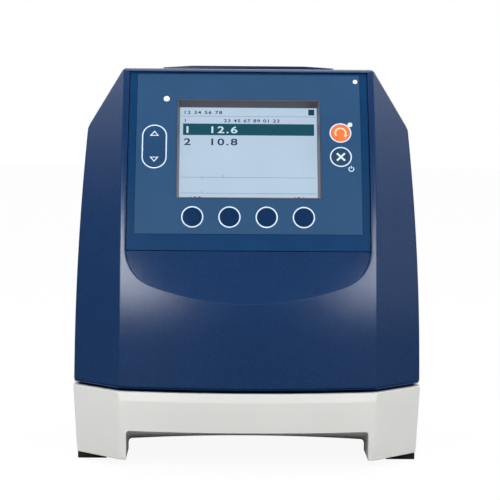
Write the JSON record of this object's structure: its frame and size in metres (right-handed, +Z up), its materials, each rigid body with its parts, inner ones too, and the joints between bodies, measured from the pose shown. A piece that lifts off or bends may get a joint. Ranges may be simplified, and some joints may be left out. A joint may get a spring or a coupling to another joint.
{
  "type": "grain analyzer",
  "caption": "Bench instrument with a leaning control panel, a screen and keys, a hopper lid on top and an arched base; grain passes through a lit cell inside.",
  "frame": {"origin": "on the bench, under the middle of the footprint", "axes": "+Z up, the front with the control panel looks towards -Y, +X to the right seen from the front"},
  "size_m": [0.298, 0.284, 0.3371],
  "materials": {
    "white_base": "satin, light grey-white moulding",
    "blue_housing": "fine leather-like moulded grain, satin",
    "blue_panel": "smooth satin moulding",
    "blue_film": "printed film, satin",
    "navy_key": "finely textured key caps",
    "orange_key": "satin orange key cap",
    "taupe_bezel": "grey-brown satin window frame",
    "screen_glass": "lit screen behind a clear pane",
    "clear_glass": "clear",
    "light_pipe": "white translucent plastic",
    "foot_rubber": "black rubber",
    "black_plastic": "black moulded plastic",
    "steel": "plated sheet and turned steel",
    "aluminium": "machined, bare",
    "brass": "turned brass",
    "circuit_board": "green board"
  },
  "bodies": {
    "case": {"base_frame": "white_base", "foot_front_left": "foot_rubber", "foot_front_right": "foot_rubber", "foot_rear_left": "foot_rubber", "foot_rear_right": "foot_rubber", "upper_housing": "blue_housing", "rear_cover": "blue_housing", "front_panel": "blue_panel", "overlay_film": "blue_film", "display_bezel": "taupe_bezel", "display_glass": "screen_glass", "display_module": "steel", "keypad_board": "circuit_board", "light_pipe_ready": "light_pipe", "light_pipe_start": "light_pipe", "light_pipe_corner": "light_pipe", "rocker_pin": "steel", "lid_hinge_pin": "steel", "hopper_funnel": "black_plastic", "chassis_plate": "steel", "optics_bench": "aluminium", "sample_cell": "aluminium", "cell_window_left": "clear_glass", "cell_window_right": "clear_glass", "feeder_housing": "black_plastic", "feeder_cover": "black_plastic", "feeder_bush_front": "brass", "feeder_bush_rear": "brass", "motor_bracket": "steel", "feeder_motor": "steel", "outlet_chute": "black_plastic", "lamp_holder": "aluminium", "halogen_lamp": "clear_glass", "lamp_lens": "clear_glass", "spectrometer": "black_plastic", "main_board": "circuit_board", "power_supply": "steel", "power_inlet": "black_plastic", "data_socket": "steel", "fan_housing": "black_plastic", "flat_cable": "black_plastic", "rear_screw_1": "steel", "rear_screw_2": "steel", "rear_screw_3": "steel", "rear_screw_4": "steel"},
    "lid": {"hopper_lid": "blue_housing"},
    "soft_key_1_body": {"soft_key_1": "navy_key"},
    "soft_key_2_body": {"soft_key_2": "navy_key"},
    "soft_key_3_body": {"soft_key_3": "navy_key"},
    "soft_key_4_body": {"soft_key_4": "navy_key"},
    "start_key_body": {"start_key": "orange_key"},
    "escape_key_body": {"escape_key": "navy_key"},
    "rocker": {"scroll_rocker": "blue_film"},
    "feeder": {"feeder_wheel": "black_plastic", "feeder_shaft": "steel", "feeder_gear": "brass"},
    "pinion": {"motor_pinion": "steel"},
    "fan": {"fan_rotor": "black_plastic"}
  },
  "joints": [
    {"name": "lid_hinge", "type": "hinge", "parent": "case", "child": "lid", "pos_m": [0, 0.126, 0.3317], "axis": [-1, 0, 0], "range_deg": [0, 100]},
    {"name": "soft_key_1_press", "type": "slide", "parent": "case", "child": "soft_key_1_body", "axis": [0, 0.9411, -0.3381], "range_m": [0, 0.0006], "stiffness_N_per_m": 1500},
    {"name": "soft_key_2_press", "type": "slide", "parent": "case", "child": "soft_key_2_body", "axis": [0, 0.9411, -0.3381], "range_m": [0, 0.0006], "stiffness_N_per_m": 1500},
    {"name": "soft_key_3_press", "type": "slide", "parent": "case", "child": "soft_key_3_body", "axis": [0, 0.9411, -0.3381], "range_m": [0, 0.0006], "stiffness_N_per_m": 1500},
    {"name": "soft_key_4_press", "type": "slide", "parent": "case", "child": "soft_key_4_body", "axis": [0, 0.9411, -0.3381], "range_m": [0, 0.0006], "stiffness_N_per_m": 1500},
    {"name": "start_key_press", "type": "slide", "parent": "case", "child": "start_key_body", "axis": [0, 0.8716, -0.4903], "range_m": [0, 0.0006], "stiffness_N_per_m": 1500},
    {"name": "escape_key_press", "type": "slide", "parent": "case", "child": "escape_key_body", "axis": [0, 0.8924, -0.4513], "range_m": [0, 0.0006], "stiffness_N_per_m": 1500},
    {"name": "rocker_tilt", "type": "hinge", "parent": "case", "child": "rocker", "pos_m": [-0.0805, -0.0761, 0.265], "axis": [1, 0, 0], "range_deg": [-2.5, 2.5], "stiffness_Nm_per_rad": 0.6},
    {"name": "feeder_spin", "type": "hinge", "parent": "case", "child": "feeder", "pos_m": [0, 0.04, 0.112], "axis": [0, 1, 0], "continuous": true},
    {"name": "pinion_spin", "type": "hinge", "parent": "case", "child": "pinion", "pos_m": [0.027, 0.084, 0.112], "axis": [0, 1, 0], "continuous": true},
    {"name": "fan_spin", "type": "hinge", "parent": "case", "child": "fan", "pos_m": [-0.066, 0.132, 0.232], "axis": [0, 1, 0], "continuous": true}
  ],
  "couplings": [
    {"joint": "pinion_spin", "follows": "feeder_spin", "ratio": -2}
  ]
}
